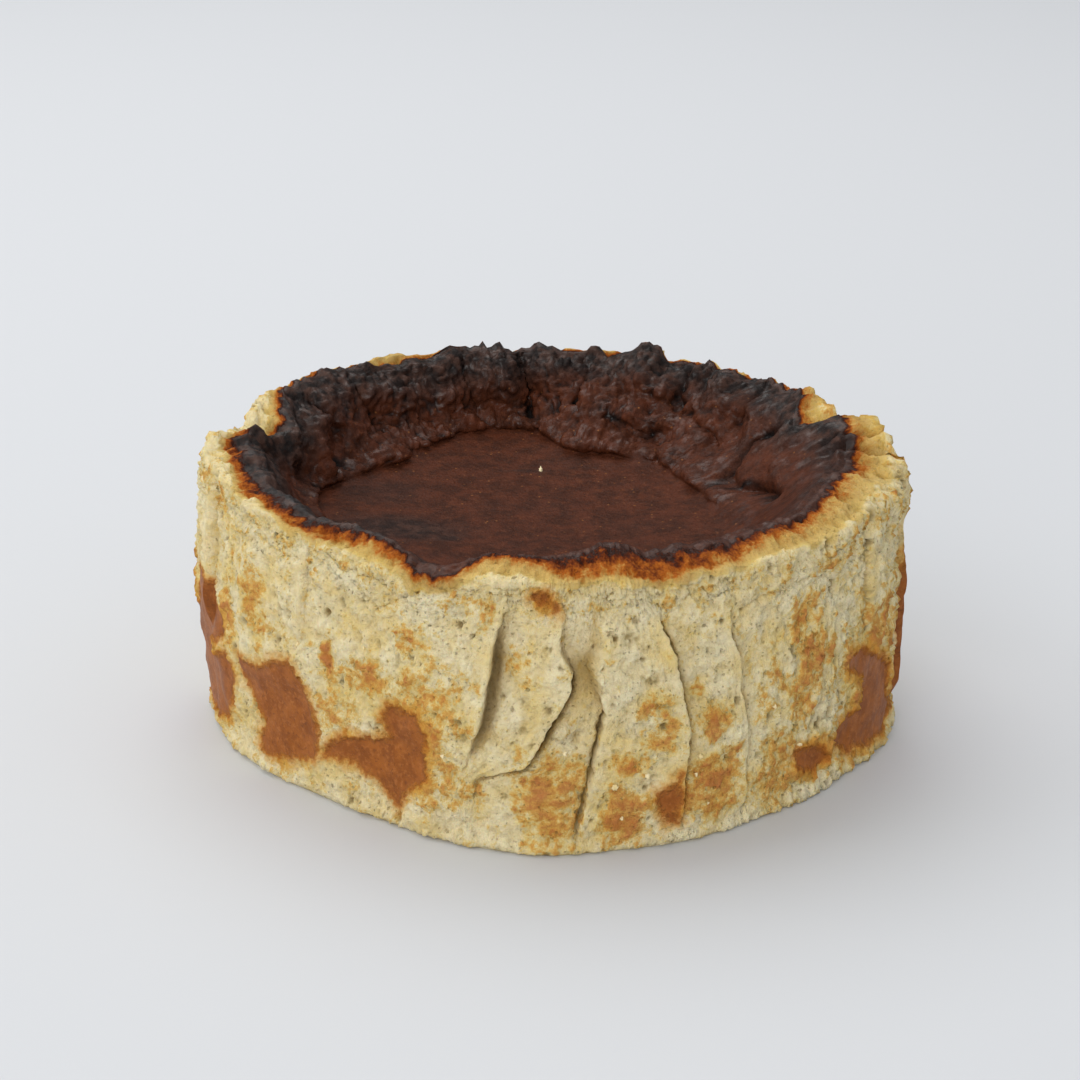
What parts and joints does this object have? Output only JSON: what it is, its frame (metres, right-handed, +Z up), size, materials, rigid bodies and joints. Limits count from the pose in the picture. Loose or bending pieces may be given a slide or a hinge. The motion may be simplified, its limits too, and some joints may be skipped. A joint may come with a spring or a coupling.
{
  "type": "basque cheesecake",
  "caption": "Round tall baked cheesecake with pale pleated sides, a golden rim and a dark burnt top that has sunk inside a crumpled edge.",
  "frame": {"origin": "on the flat base, under the middle of the cake's bounding box", "axes": "+Z up out of the burnt top, -Y out of the pleated front, +X to the right of someone who faces that front"},
  "size_m": [0.1544, 0.148, 0.0661],
  "materials": {
    "baked_cheesecake": "matte, porous pale crumb with toasted and caramel patches, under a dark brown, softly shining burnt skin"
  },
  "bodies": {
    "root": {"cheesecake": "baked_cheesecake"}
  },
  "joints": []
}
